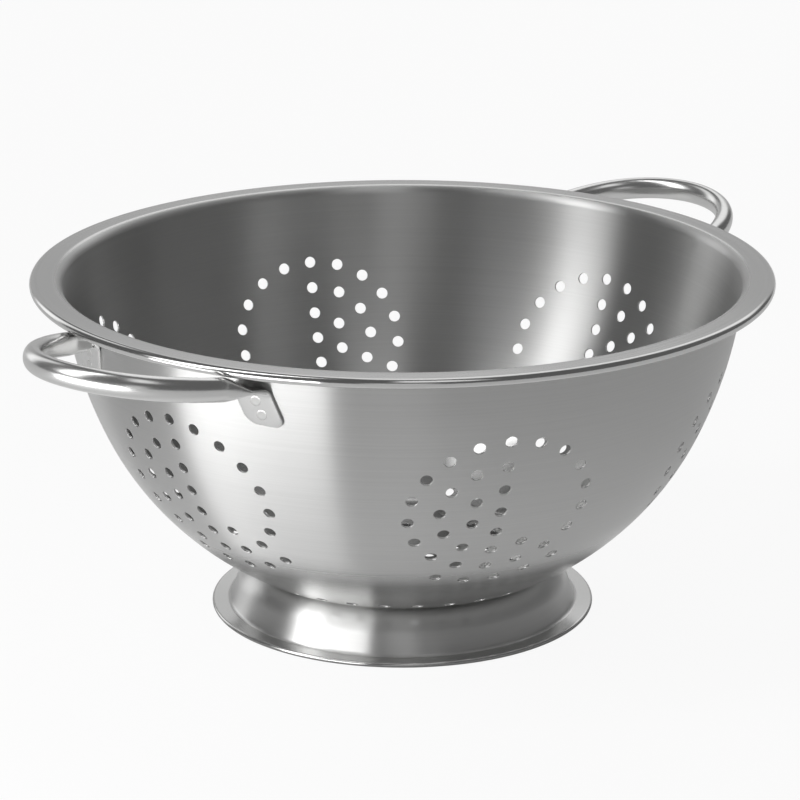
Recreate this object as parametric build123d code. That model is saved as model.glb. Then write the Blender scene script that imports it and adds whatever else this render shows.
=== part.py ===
from build123d import *
import math
import os

# Colander: a perforated bowl with a rolled rim, a flared foot ring under it and two bent tube handles.
# Millimetres, +Z up. The origin is on the table, on the bowl's axis. The handles lie along X.

# Sheet and cutting
sheet = 0.8                    # stainless sheet of the bowl and the foot
overrun = 3.0                  # how far a cutting shape passes beyond what it cuts

# Rim
rim_radius = 140.0             # outer edge of the rolled rim
rim_height = 131.9             # top of the flat flange above the table
rim_roll_radius = 1.85         # outside of the roll at the flange's edge
rim_roll_turn = 270.0          # how far the edge is rolled round, in degrees
rim_flange_width = 6.5         # flat flange between the fold's centre and the roll's centre
fold_radius = 3.2              # under the flange, where the wall turns outward

# Bowl, outside surface: flat floor, blend, lower arc, upper arc and straight wall
wall_lean = 8.5                # lean of the straight wall, in degrees from upright
wall_foot_height = 119.8       # where the upper arc ends and the straight wall starts
upper_radius = 167.3
side_lean = 25.2               # slope at which the two arcs meet, in degrees from upright
floor_radius = 56.6            # edge of the flat floor
floor_height = 17.8            # underside of the floor above the table
floor_blend_radius = 10.0      # between the floor and the lower arc

# Drain holes
hole_diameter = 4.5
group_count = 6
group_turn = 0.8               # first group past the handles' line, in degrees
group_sphere_radius = 126.6    # sphere near the wall, on which a group is laid out
group_sphere_height = 129.5    # its centre above the table
group_depth_angle = 26.5       # group centre below the sphere's centre plane, in degrees
group_pitch_across = 11.2      # step between the rings of a group, measured sideways
group_pitch_up = 10.4          # the same step, measured up the wall
group_rings = [                # ring number, first angle from the top, step and hole count
    (0, 0.0, 0.0, 1),
    (1, 0.0, 60.0, 4),
    (2, 0.0, 30.0, 8),
    (3, 0.0, 20.0, 18),
    (4, 157.5, 15.0, 5),
]
floor_pitch = 10.4             # step between the rings of holes in the floor
drip_ring_gap = 8.8            # from the floor's edge out to the ring of holes outside the foot
drip_ring_holes = 34
drip_ring_turn = 5.2           # first hole past the handles' line, in degrees

# Foot ring
foot_inset = 4.7               # from the floor's edge in to where the foot's flat lip ends
foot_lip_width = 6.6           # flat lip under the bowl's floor
foot_shoulder_radius = 12.6    # outside, between the lip and the flare
foot_flare_lean = 20.0         # lean of the flare, in degrees from upright
foot_bend_radius = 1.6         # outside, between the flare and the flange
foot_flange_width = 4.9        # between the bend's centre and the hem's centre
foot_hem_gap = 0.2             # inside the hem, where the flange's edge is folded under
foot_hem_width = 3.4           # flat underside of the hem, on the table

# Handles: bent tube with flattened ends
tube_width = 7.1               # across the tube, in the plane of the handle
tube_height = 8.8              # across the tube, square to that plane
tube_wall = 0.8
handle_tilt = 9.3              # upward tilt of the handle's plane, in degrees
handle_height = 121.8          # corner of the flattened ends' fold above the table
bow_radius = 38.4              # middle bend of the tube's axis
bow_turn = 58.8                # half of the middle bend, in degrees
side_radius = 54.5             # gentler bends beside it
side_turn = 22.3               # each, in degrees
arm_radius = 95.0              # slight bend of the arm, along which the tube is pressed flat
arm_turn = 6.2                 # in degrees
arm_straight = 3.0             # flat arm between that bend and the corner of the fold
flat_width = 13.0              # across a flattened end
tab_length = 14.5              # from the corner of the fold down to the tab's end
tab_fold_radius = 3.0          # middle of the fold from the arm into the tab
tab_corner_radius = 4.0
tab_side_margin = 0.3          # from the tab's side to the outline that rounds its corners
arm_sections = 6               # sections through the arm, between its start and the fold
fold_sections = 5              # sections through the fold
round_squareness = 2.0         # 2 is an ellipse, and more is a rounded rectangle
flat_squareness = 6.0
hollow_end_share = 0.7         # how far along the arm the tube is still open inside

# Spot welds
weld_diameter = 4.0
weld_dimple = 0.12             # how far a weld lies below the sheet on either side
tab_weld_first = 4.6           # along the tab from the corner of its fold
tab_weld_step = 5.6
tab_welds = 2
foot_welds = 8
foot_weld_turn = 22.5          # first weld past the handles' line, in degrees

# Bowl outline, outside surface, from the rim down to the floor
lean = math.radians(wall_lean)
side_slope = math.radians(side_lean)
roll_centre = (rim_radius - rim_roll_radius, rim_height - rim_roll_radius)
fold_centre = (roll_centre[0] - rim_flange_width, rim_height - sheet - fold_radius)
wall_top_height = fold_centre[1] + fold_radius * math.sin(lean)
wall_top_radius = fold_centre[0] - fold_radius * math.cos(lean)
wall_foot_radius = wall_top_radius - (wall_top_height - wall_foot_height) * math.tan(lean)
upper_centre = (
    wall_foot_radius - upper_radius * math.cos(lean),
    wall_foot_height + upper_radius * math.sin(lean),
)
side_radius_out = upper_centre[0] + upper_radius * math.cos(side_slope)
side_height = upper_centre[1] - upper_radius * math.sin(side_slope)
blend_centre = (floor_radius, floor_height + floor_blend_radius)
blend_across = side_radius_out - blend_centre[0]
blend_rise = side_height - blend_centre[1]
lower_spare = blend_across * math.cos(side_slope) - blend_rise * math.sin(side_slope) - floor_blend_radius
lower_radius = (blend_across ** 2 + blend_rise ** 2 - floor_blend_radius ** 2) / (2 * lower_spare)
lower_centre = (
    side_radius_out - lower_radius * math.cos(side_slope),
    side_height + lower_radius * math.sin(side_slope),
)
blend_angle = math.degrees(math.atan2(blend_centre[1] - lower_centre[1], blend_centre[0] - lower_centre[0]))
drip_ring_radius = floor_radius + drip_ring_gap
drip_ring_height = lower_centre[1] - math.sqrt(lower_radius ** 2 - (drip_ring_radius - lower_centre[0]) ** 2)

foot_neck_radius = floor_radius - foot_inset
foot_lip_radius = foot_neck_radius - foot_lip_width
foot_weld_radius = foot_neck_radius - foot_lip_width / 2
foot_weld_length = 2 * sheet - 2 * weld_dimple
foot_hem_radius = sheet + foot_hem_gap / 2

tab_bed = (flat_width / 2) ** 2 / (2 * wall_foot_radius) + (tab_length / 2) ** 2 / (2 * upper_radius)
tab_weld_length = sheet + 2 * tube_wall - tab_bed - 2 * weld_dimple


def wall_at(height):
    """Outside radius of the bowl at a height, and the wall's slope there."""
    if height > wall_foot_height:
        return wall_foot_radius + (height - wall_foot_height) * math.tan(lean), lean
    centre, radius = upper_centre, upper_radius
    if height < side_height:
        centre, radius = lower_centre, lower_radius
    slope = math.asin((centre[1] - height) / radius)
    return centre[0] + radius * math.cos(slope), slope


def turned(curves):
    """Solid turned round the bowl's axis from a closed outline."""
    return revolve(Plane.XZ * make_face(curves), Axis.Z)


def wall_curves(inset):
    """Floor, blend, both arcs and straight wall of the bowl, at an inset from its outside."""
    blend = CenterArc(blend_centre, floor_blend_radius - inset, -90, 90 + blend_angle)
    lower = CenterArc(lower_centre, lower_radius - inset, blend_angle, -side_lean - blend_angle)
    upper = CenterArc(upper_centre, upper_radius - inset, -side_lean, side_lean - wall_lean)
    wall_top = (
        wall_top_radius - inset * math.cos(lean),
        wall_top_height + inset * math.sin(lean),
    )
    floor = Line((0, floor_height + inset), blend @ 0)
    wall = Line(upper @ 1, wall_top)
    return [floor, blend, lower, upper, wall]


def bowl_shell():
    """Bowl with flat floor, leaning wall, flange and rolled edge, before it is pierced."""
    outer = wall_curves(0)
    inner = wall_curves(sheet)
    outer_fold = CenterArc(fold_centre, fold_radius, 180 - wall_lean, wall_lean - 90)
    inner_fold = CenterArc(fold_centre, fold_radius + sheet, 180 - wall_lean, wall_lean - 90)
    roll_inside = CenterArc(roll_centre, rim_roll_radius - sheet, 90, -rim_roll_turn)
    roll_outside = CenterArc(roll_centre, rim_roll_radius, 90, -rim_roll_turn)
    rim = [
        outer_fold,
        Line(outer_fold @ 1, roll_inside @ 0),
        roll_inside,
        Line(roll_inside @ 1, roll_outside @ 1),
        roll_outside,
        Line(roll_outside @ 0, inner_fold @ 1),
        inner_fold,
    ]
    return turned(outer + rim + inner + [Line(inner[0] @ 0, outer[0] @ 0)])


def wall_core():
    """Everything inside the outer surface of the bowl's wall."""
    outer = wall_curves(0)
    lid = Line(outer[-1] @ 1, (0, wall_top_height))
    return turned(outer + [lid, Line(lid @ 1, outer[0] @ 0)])


def group_hole_places():
    """Azimuth from the group's middle, in degrees, and height of each hole of one group."""
    depth = math.radians(group_depth_angle)
    places = []
    for ring, first, step, count in group_rings:
        for index in range(count):
            angle = math.radians(first + step * index)
            across = group_pitch_across * ring * math.sin(angle) / group_sphere_radius
            up = group_pitch_up * ring * math.cos(angle) / group_sphere_radius
            reach = math.hypot(across, up)
            bearing = math.atan2(across, up)
            sine = math.sin(reach) * math.cos(depth) * math.cos(bearing) - math.cos(reach) * math.sin(depth)
            aside = math.atan2(
                math.sin(bearing) * math.sin(reach) * math.cos(depth),
                math.cos(reach) + math.sin(depth) * sine,
            )
            places.append((-math.degrees(aside), group_sphere_height + group_sphere_radius * sine))
    return places


def wall_hole(azimuth, height):
    """Drill through the bowl's wall, square to its surface."""
    radius, slope = wall_at(height)
    turn = math.radians(azimuth)
    outward = Vector(math.cos(turn), math.sin(turn), 0)
    aim = outward * math.cos(slope) - Vector(0, 0, 1) * math.sin(slope)
    start = outward * radius + Vector(0, 0, height) - aim * (sheet + overrun)
    grow = (Align.CENTER, Align.CENTER, Align.MIN)
    return Plane(origin=start, z_dir=aim) * Cylinder(hole_diameter / 2, sheet + 2 * overrun, align=grow)


def floor_hole(azimuth, radius):
    """Drill straight through the bowl's floor."""
    turn = math.radians(azimuth)
    drill = Cylinder(hole_diameter / 2, sheet + 2 * overrun)
    return Pos(radius * math.cos(turn), radius * math.sin(turn), floor_height + sheet / 2) * drill


def drain_holes():
    """Every drain hole: six groups in the wall, rings in the floor and the ring outside the foot."""
    drills = [floor_hole(0, 0)]
    for group in range(group_count):
        middle = group_turn + 360 / group_count * group
        drills += [wall_hole(middle + aside, height) for aside, height in group_hole_places()]
    rings = int((foot_lip_radius - hole_diameter / 2) / floor_pitch)
    for ring in range(1, rings + 1):
        holes = 6 * ring
        drills += [floor_hole(group_turn + 360 / holes * index, floor_pitch * ring) for index in range(holes)]
    step = 360 / drip_ring_holes
    drills += [wall_hole(drip_ring_turn + step * index, drip_ring_height) for index in range(drip_ring_holes)]
    return drills


def foot_ring():
    """Foot: flat lip, rounded shoulder, steep flare, flat flange and flat hem on the table."""
    shoulder_centre = (foot_neck_radius, floor_height - foot_shoulder_radius)
    flare = math.radians(foot_flare_lean)
    shoulder = CenterArc(shoulder_centre, foot_shoulder_radius, 90, foot_flare_lean - 90)
    shoulder_inside = CenterArc(shoulder_centre, foot_shoulder_radius - sheet, 90, foot_flare_lean - 90)
    flange_top = 2 * foot_hem_radius
    bend_height = flange_top + foot_bend_radius
    shoulder_end = shoulder @ 1
    tangent_height = bend_height - foot_bend_radius * math.sin(flare)
    tangent_radius = shoulder_end.X + (shoulder_end.Y - tangent_height) * math.tan(flare)
    bend_centre = (tangent_radius + foot_bend_radius * math.cos(flare), bend_height)
    bend_start = 180 + foot_flare_lean
    bend = CenterArc(bend_centre, foot_bend_radius, bend_start, 90 - foot_flare_lean)
    bend_inside = CenterArc(bend_centre, foot_bend_radius + sheet, bend_start, 90 - foot_flare_lean)
    hem_at = (bend_centre[0] + foot_flange_width, foot_hem_radius)
    hem_end = hem_at[0] - foot_hem_width
    hem_outside = CenterArc(hem_at, foot_hem_radius, 90, -180)
    hem_inside = CenterArc(hem_at, foot_hem_gap / 2, 90, -180)
    outline = [
        Line((foot_lip_radius, floor_height), shoulder @ 0),
        shoulder,
        Line(shoulder @ 1, bend @ 0),
        bend,
        Line(bend @ 1, hem_outside @ 0),
        hem_outside,
        Line(hem_outside @ 1, (hem_end, 0)),
        Line((hem_end, 0), (hem_end, sheet)),
        Line((hem_end, sheet), hem_inside @ 1),
        hem_inside,
        Line(hem_inside @ 0, bend_inside @ 1),
        bend_inside,
        Line(bend_inside @ 0, shoulder_inside @ 1),
        shoulder_inside,
        Line(shoulder_inside @ 0, (foot_lip_radius, floor_height - sheet)),
        Line((foot_lip_radius, floor_height - sheet), (foot_lip_radius, floor_height)),
    ]
    return turned(outline)


def polar(radius, angle):
    """Flat vector with a length and an angle in degrees."""
    return Vector(radius * math.cos(math.radians(angle)), radius * math.sin(math.radians(angle)))


# Tube axis in the handle's plane: local x points outward from the bow's centre, y along the bowl's edge
side_stop = bow_turn + side_turn
arm_stop = side_stop + arm_turn
side_centre = polar(bow_radius - side_radius, bow_turn)
arm_centre = side_centre + polar(side_radius - arm_radius, side_stop)
arm_end = arm_centre + polar(arm_radius, arm_stop)
fold_corner = arm_end + polar(arm_straight, arm_stop + 90)

# The tab lies on the wall where the arm meets it, with the slope that the wall has behind its middle
tab_middle_height = handle_height - tab_length / 2
tab_back_radius, tab_slope = wall_at(tab_middle_height)
tab_lift = tube_wall - tab_bed
corner_rise = handle_height - tab_middle_height + tab_lift * math.sin(tab_slope)
corner_radius = tab_back_radius + tab_lift * math.cos(tab_slope) + corner_rise * math.tan(tab_slope)
corner_turn = math.asin(fold_corner.Y / corner_radius)
tab_outward = Vector(math.cos(corner_turn), math.sin(corner_turn), 0)
wall_normal = tab_outward * math.cos(tab_slope) - Vector(0, 0, 1) * math.sin(tab_slope)
corner = tab_outward * corner_radius + Vector(0, 0, handle_height)

tilt = math.radians(handle_tilt)
handle_outward = Vector(math.cos(tilt), 0, math.sin(tilt))
handle_up = handle_outward.cross(Vector(0, 1, 0))
handle_plane = Plane(
    origin=corner - handle_outward * fold_corner.X - Vector(0, fold_corner.Y, 0),
    x_dir=handle_outward,
    z_dir=handle_up,
)

# The fold: its line, and the aims of arm and tab square to it and along the strip
fold_line = handle_up.cross(wall_normal).normalized()
arm_out = fold_line.cross(handle_up)
tab_down = fold_line.cross(wall_normal)
fold_turn = 180 - arm_out.get_angle(tab_down)
fold_setback = tab_fold_radius * math.tan(math.radians(fold_turn / 2))
strip_aim = polar(1, arm_stop + 90)
arm_aim = handle_plane.x_dir * strip_aim.X + handle_plane.y_dir * strip_aim.Y
slant = math.asin(arm_aim.dot(fold_line))
tab_aim = fold_line * math.sin(slant) + tab_down * math.cos(slant)
strip_width = flat_width / math.cos(slant)
fold_start = corner - arm_aim * (fold_setback / math.cos(slant))


def oval(half_width, half_height, squareness, points=24):
    """Closed outline between an ellipse, at squareness 2, and a rounded rectangle."""
    corners = []
    for index in range(points):
        angle = 2 * math.pi * index / points
        across = math.copysign(abs(math.cos(angle)) ** (2 / squareness), math.cos(angle))
        upward = math.copysign(abs(math.sin(angle)) ** (2 / squareness), math.sin(angle))
        corners.append((half_width * across, half_height * upward))
    return make_face(Spline(corners, periodic=True))


def strip_section():
    """Section of the flattened tube, cut along the line of its fold."""
    return oval(strip_width / 2, tube_wall, flat_squareness)


def handle_loop():
    """Hollow bow of the handle between its arms."""
    other_centre = (side_centre.X, -side_centre.Y)
    other_side = CenterArc(other_centre, side_radius, -side_stop, side_turn)
    bow = CenterArc((0, 0), bow_radius, -bow_turn, 2 * bow_turn)
    side = CenterArc(side_centre, side_radius, bow_turn, side_turn)
    path = Wire([handle_plane * edge for edge in (other_side, bow, side)])
    aim = path % 1
    place = Plane(origin=path @ 1, x_dir=aim.cross(handle_up), z_dir=aim)
    outside = oval(tube_width / 2, tube_height / 2, round_squareness)
    inside = oval(tube_width / 2 - tube_wall, tube_height / 2 - tube_wall, round_squareness)
    return sweep(place * outside, path=path) - sweep(place * inside, path=path)


def arm_station(share):
    """Place on the arm's axis and its aim, at a share of the way to the fold."""
    bend_length = arm_radius * math.radians(arm_turn)
    straight = (fold_start - handle_plane.from_local_coords(arm_end)).length
    distance = (bend_length + straight) * share
    angle = side_stop + arm_turn * min(distance / bend_length, 1)
    past = max(distance - bend_length, 0)
    spot = arm_centre + polar(arm_radius, angle) + polar(past, angle + 90)
    aim = polar(1, angle + 90)
    return handle_plane.from_local_coords(spot), handle_plane.x_dir * aim.X + handle_plane.y_dir * aim.Y


def pressed_arm():
    """Tube pressed flat on its way to the wall, with its section turning to the line of the fold."""
    outside = []
    inside = []
    for index in range(arm_sections + 1):
        share = index / arm_sections
        eased = share * share * (3 - 2 * share)
        spot, aim = arm_station(share)
        skew = slant * share
        square = aim.cross(handle_up)
        across = square * math.cos(skew) - aim * math.sin(skew)
        half_width = (tube_width + (flat_width - tube_width) * eased) / 2 / math.cos(skew)
        half_height = tube_height / 2 + (tube_wall - tube_height / 2) * eased
        squareness = round_squareness + (flat_squareness - round_squareness) * eased
        place = Plane(origin=spot, x_dir=across, z_dir=across.cross(handle_up * -1))
        outside.append(place * oval(half_width, half_height, squareness))
        if share < hollow_end_share:
            inside.append(place * oval(half_width - tube_wall, half_height - tube_wall, squareness))
    return loft(outside) - loft(inside)


def tab_outline():
    """Outline of the tab with rounded lower corners, seen from outside, with its fold along local x."""
    half = strip_width / 2 + tab_side_margin
    drop = (tab_length - fold_setback) * math.cos(slant)
    outline = Polyline(
        (-half - overrun * math.tan(slant), overrun),
        (half - overrun * math.tan(slant), overrun),
        (half + drop * math.tan(slant), -drop),
        (-half + drop * math.tan(slant), -drop),
        close=True,
    )
    face = make_face(outline)
    return fillet(face.vertices().sort_by(Axis.Y)[:2], radius=tab_corner_radius)


def fold_and_tab():
    """Flattened tube folded down at the wall without stretching, and the tab below the fold."""
    fold_axis_spot = fold_start - handle_up * tab_fold_radius
    sections = []
    for index in range(fold_sections + 1):
        turned_by = math.radians(fold_turn * index / fold_sections)
        back = handle_up * math.cos(turned_by) - arm_out * math.sin(turned_by)
        aim = arm_out * -math.cos(turned_by) - handle_up * math.sin(turned_by)
        drift = tab_fold_radius * turned_by * math.tan(slant)
        spot = fold_axis_spot + back * tab_fold_radius + fold_line * drift
        sections.append(Plane(origin=spot, x_dir=fold_line, z_dir=aim))
    fold = loft([place * strip_section() for place in sections])
    tab_start = sections[-1]
    tab = extrude(tab_start * strip_section(), tab_length, dir=tab_aim)
    outline = Plane(origin=tab_start.origin, x_dir=fold_line, z_dir=wall_normal) * tab_outline()
    return fold + (tab & extrude(outline, overrun, both=True))


def tab_weld_places():
    """Places of the spot welds of one tab, on the wall's outer surface, looking outward."""
    start = corner - wall_normal * tab_lift
    steps = [tab_weld_first + tab_weld_step * index for index in range(tab_welds)]
    return [Plane(origin=start + tab_aim * step, z_dir=wall_normal) for step in steps]


def weld_bodies(place, length):
    """A spot weld that starts inside the sheet behind a place, and the hole that it fills."""
    grow = (Align.CENTER, Align.CENTER, Align.MIN)
    weld = Cylinder(weld_diameter / 2, length, align=grow)
    hole = Cylinder(weld_diameter / 2, length + 2 * overrun, align=grow)
    below = sheet - weld_dimple
    return place * Pos(0, 0, -below) * weld, place * Pos(0, 0, -below - overrun) * hole


def handle_welds():
    """Spot welds of the handle at +X and the holes that they fill."""
    welds = []
    holes = []
    for place in tab_weld_places():
        weld, hole = weld_bodies(place, tab_weld_length)
        welds += [weld, mirror(weld, about=Plane.XZ)]
        holes += [hole, mirror(hole, about=Plane.XZ)]
    return welds, holes


def foot_weld_bodies():
    """Spot welds between the foot's lip and the bowl's floor, and the holes that they fill."""
    welds = []
    holes = []
    for index in range(foot_welds):
        spot = polar(foot_weld_radius, foot_weld_turn + 360 / foot_welds * index)
        place = Plane(origin=(spot.X, spot.Y, floor_height), z_dir=(0, 0, -1))
        weld, hole = weld_bodies(place, foot_weld_length)
        welds.append(weld)
        holes.append(hole)
    return welds, holes


def half_turn(shapes):
    """The same shapes on the other side of the bowl."""
    return [Rot(0, 0, 180) * shape for shape in shapes]


def save(shape, node):
    """Write one node's file."""
    shape.label = node
    export_step(shape, f"parts/{node}.step")
    print(node, len(shape.solids()), round(shape.volume, 1))


os.makedirs("parts", exist_ok=True)

tab_welds_right, tab_holes = handle_welds()
lip_welds, lip_holes = foot_weld_bodies()

end = pressed_arm() + fold_and_tab()
handle = handle_loop() + end + mirror(end, about=Plane.XZ)
handle = handle - wall_core() - tab_holes

save(bowl_shell() - (drain_holes() + tab_holes + half_turn(tab_holes) + lip_holes), "bowl")
save(foot_ring() - lip_holes, "foot_ring")
save(handle, "handle_right")
save(half_turn([handle])[0], "handle_left")
save(Compound(children=tab_welds_right), "handle_right_welds")
save(Compound(children=half_turn(tab_welds_right)), "handle_left_welds")
save(Compound(children=lip_welds), "foot_welds")
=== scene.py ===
import math

import bpy
import numpy as np
from mathutils import Matrix, Vector


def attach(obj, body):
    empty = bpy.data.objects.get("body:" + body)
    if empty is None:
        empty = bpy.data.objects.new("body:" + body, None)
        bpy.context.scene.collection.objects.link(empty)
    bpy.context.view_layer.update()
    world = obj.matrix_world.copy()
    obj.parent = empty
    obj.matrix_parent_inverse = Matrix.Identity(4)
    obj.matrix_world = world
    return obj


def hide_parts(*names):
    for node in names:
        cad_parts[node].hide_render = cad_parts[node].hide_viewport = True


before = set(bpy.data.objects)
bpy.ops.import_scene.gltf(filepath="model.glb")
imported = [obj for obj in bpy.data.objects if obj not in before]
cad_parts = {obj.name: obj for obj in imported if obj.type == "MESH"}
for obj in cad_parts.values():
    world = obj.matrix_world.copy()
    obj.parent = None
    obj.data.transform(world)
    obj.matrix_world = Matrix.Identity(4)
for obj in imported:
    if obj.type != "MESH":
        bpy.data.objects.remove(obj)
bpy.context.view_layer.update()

# Colander in stainless steel: perforated bowl, foot ring, two tube handles and their spot welds.
# Metres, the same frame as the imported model: +Z up, the bowl's axis at the origin, handles along X.

mm = 0.001


# Node trees

class Link:                                  # an output socket that can stand in an expression
    def __init__(self, bench, socket):
        self.bench = bench
        self.socket = socket

    def __add__(self, other):
        return self.bench.maths("ADD", self, other)

    def __sub__(self, other):
        return self.bench.maths("SUBTRACT", self, other)

    def __mul__(self, other):
        return self.bench.maths("MULTIPLY", self, other)

    def __truediv__(self, other):
        return self.bench.maths("DIVIDE", self, other)

    def __rsub__(self, other):
        return self.bench.maths("SUBTRACT", other, self)

    def __rtruediv__(self, other):
        return self.bench.maths("DIVIDE", other, self)

    __radd__ = __add__
    __rmul__ = __mul__


class Made:                                  # a finished node, asked for its outputs by name
    def __init__(self, bench, node):
        self.bench = bench
        self.node = node

    def __getitem__(self, name):
        return Link(self.bench, self.node.outputs[name])


class Bench:                                 # makes and wires the nodes of one tree
    def __init__(self, tree):
        self.tree = tree

    def plug(self, socket, value):
        for one in value if isinstance(value, list) else [value]:
            if isinstance(one, Link):
                self.tree.links.new(one.socket, socket)
            else:
                socket.default_value = one

    def make(self, kind, settings=None, sockets=None):
        node = self.tree.nodes.new(kind)
        for name, value in (settings or {}).items():
            setattr(node, name, value)
        for name, value in (sockets or {}).items():
            self.plug(node.inputs[name], value)
        return Made(self, node)

    def maths(self, operation, *values):
        return self.make("ShaderNodeMath", {"operation": operation}, dict(enumerate(values)))["Value"]

    def vector(self, x, y, z):
        return self.make("ShaderNodeCombineXYZ", {}, {"X": x, "Y": y, "Z": z})["Vector"]

    def parts(self, vector):
        split = self.make("ShaderNodeSeparateXYZ", {}, {"Vector": vector})
        return split["X"], split["Y"], split["Z"]


def smoothStep(bench, value, low, high):
    return bench.make("ShaderNodeMapRange", {"interpolation_type": "SMOOTHSTEP"}, {
        "Value": value, "From Min": low, "From Max": high,
    })["Result"]


# Meshes

def polar(radius, degrees):                  # flat vector with a length and an angle
    return Vector((radius * math.cos(math.radians(degrees)), radius * math.sin(math.radians(degrees))))


def arcPoints(centre, radius, first, last, step, side):
    # Points and normals of an arc: side is 1 where the metal's free side is away from its centre, or -1
    count = max(1, round(abs(last - first) / step))
    points = []
    for index in range(count + 1):
        aim = polar(1, first + (last - first) * index / count)
        spot = Vector(centre) + aim * radius
        points.append((spot.x, spot.y, aim.x * side, aim.y * side))
    return points


def linePoints(start, end, normal, count):
    # Points between two others that are there already, all with one normal
    points = []
    for index in range(1, count):
        spot = Vector(start).lerp(Vector(end), index / count)
        points.append((spot.x, spot.y, normal[0], normal[1]))
    return points


def meshPiece(name, points, faces, normals=None):
    mesh = bpy.data.meshes.new(name)
    mesh.from_pydata([tuple(point) for point in points], [], faces)
    mesh.shade_smooth()
    mesh.update()
    if normals is not None:
        attribute = mesh.attributes.new("finishNormal", "FLOAT_VECTOR", "POINT")
        attribute.data.foreach_set("vector", np.array(normals, np.float32).ravel())
    piece = bpy.data.objects.new(name, mesh)
    bpy.context.scene.collection.objects.link(piece)
    return piece


def useFinishNormals(piece):                 # shading follows the exact surface, not the facets
    attribute = piece.data.attributes["finishNormal"]
    normals = np.zeros(len(piece.data.vertices) * 3, np.float32)
    attribute.data.foreach_get("vector", normals)
    normals = normals.reshape(-1, 3)
    normals /= np.maximum(np.linalg.norm(normals, axis=1), 1e-9)[:, None]
    piece.data.attributes.remove(attribute)
    piece.data.shade_smooth()
    piece.data.normals_split_custom_set_from_vertices([tuple(normal) for normal in normals])


def lathe(name, profile, steps):
    # Turns a closed outline of (radius, height, normal) round the bowl's axis
    points, normals, rows = [], [], []
    for radius, height, out, up in profile:
        turns = [0] if radius < 1e-6 else range(steps)
        rows.append([len(points) + index for index in range(len(turns))])
        for index in turns:
            around = polar(1, 360 * index / steps)
            points.append((radius * around.x, radius * around.y, height))
            normals.append((out * around.x, out * around.y, up))
    faces = []
    for near, far in zip(rows, rows[1:] + rows[:1]):
        for index in range(steps if max(len(near), len(far)) > 1 else 0):
            after = (index + 1) % steps
            corners = [near[index % len(near)], near[after % len(near)], far[after % len(far)], far[index % len(far)]]
            face = list(dict.fromkeys(corners))
            if len(face) > 2:
                faces.append(face)
    return meshPiece(name, points, faces, normals)


def asPlainMesh(piece):                      # the evaluated result takes the place of mesh and modifiers
    graph = bpy.context.evaluated_depsgraph_get()
    mesh = bpy.data.meshes.new_from_object(piece.evaluated_get(graph), depsgraph=graph)
    piece.modifiers.clear()
    piece.data = mesh
    mesh.name = piece.name


def addTree(piece, tree, values):            # a Geometry Nodes modifier with its inputs set by identifier
    modifier = piece.modifiers.new(tree.name, "NODES")
    modifier.node_group = tree
    for item in tree.interface.items_tree:
        if item.item_type == "SOCKET" and item.in_out == "INPUT" and item.name in values:
            modifier[item.identifier] = values[item.name]
    return modifier


# Bowl

bowlSizes = {
    "sheet": 0.8 * mm,
    "rimRadius": 140.0 * mm,
    "rimHeight": 131.9 * mm,
    "rollRadius": 1.85 * mm,
    "rollTurn": 270.0,
    "flangeWidth": 6.5 * mm,
    "foldRadius": 3.2 * mm,
    "wallLean": 8.5,
    "wallFootHeight": 119.8 * mm,
    "upperRadius": 167.3 * mm,
    "sideLean": 25.2,
    "floorRadius": 56.6 * mm,
    "floorHeight": 17.8 * mm,
    "blendRadius": 10.0 * mm,
    "steps": 288,
    "wallStep": 4.0 * mm,
    "lowerStep": 1.4,                        # step of the lower arc beside that of the upper one
}


def bowlArcs():
    # Centres and radii of the bowl's outside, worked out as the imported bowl's are
    s = bowlSizes
    lean, slope = math.radians(s["wallLean"]), math.radians(s["sideLean"])
    roll = Vector((s["rimRadius"] - s["rollRadius"], s["rimHeight"] - s["rollRadius"]))
    fold = Vector((roll.x - s["flangeWidth"], s["rimHeight"] - s["sheet"] - s["foldRadius"]))
    wallTop = fold + Vector((-math.cos(lean), math.sin(lean))) * s["foldRadius"]
    wallFoot = Vector((wallTop.x - (wallTop.y - s["wallFootHeight"]) * math.tan(lean), s["wallFootHeight"]))
    upper = wallFoot + Vector((-math.cos(lean), math.sin(lean))) * s["upperRadius"]
    side = upper + Vector((math.cos(slope), -math.sin(slope))) * s["upperRadius"]
    blend = Vector((s["floorRadius"], s["floorHeight"] + s["blendRadius"]))
    reach = side - blend
    spare = reach.x * math.cos(slope) - reach.y * math.sin(slope) - s["blendRadius"]
    lowerRadius = (reach.length_squared - s["blendRadius"] ** 2) / (2 * spare)
    lower = side + Vector((-math.cos(slope), math.sin(slope))) * lowerRadius
    blendAngle = math.degrees(math.atan2(blend.y - lower.y, blend.x - lower.x))
    return {
        "roll": roll, "fold": fold, "wallTop": wallTop, "wallFoot": wallFoot, "upper": upper,
        "side": side, "blend": blend, "lower": lower, "lowerRadius": lowerRadius, "blendAngle": blendAngle,
    }


def wallProfile(arcs, inset, side):
    # From the floor's middle up to the start of the fold under the flange
    s = bowlSizes
    lean = math.radians(s["wallLean"])
    step = math.degrees(s["wallStep"] / s["upperRadius"])
    out = (math.cos(lean) * side, -math.sin(lean) * side)
    floor = s["floorHeight"] + inset
    profile = [(0, floor, 0, -side)]
    profile += linePoints((0, floor), (s["floorRadius"], floor), (0, -side), 4)
    profile += arcPoints(arcs["blend"], s["blendRadius"] - inset, -90, arcs["blendAngle"], 8, side)
    lowerStep = step * s["lowerStep"]
    lowerRadius = arcs["lowerRadius"] - inset
    profile += arcPoints(arcs["lower"], lowerRadius, arcs["blendAngle"], -s["sideLean"], lowerStep, side)[1:]
    profile += arcPoints(arcs["upper"], s["upperRadius"] - inset, -s["sideLean"], -s["wallLean"], step, side)[1:]
    top = arcs["wallTop"] + Vector((-math.cos(lean), math.sin(lean))) * inset
    profile += linePoints(profile[-1][:2], top, out, 3)
    return profile


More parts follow.
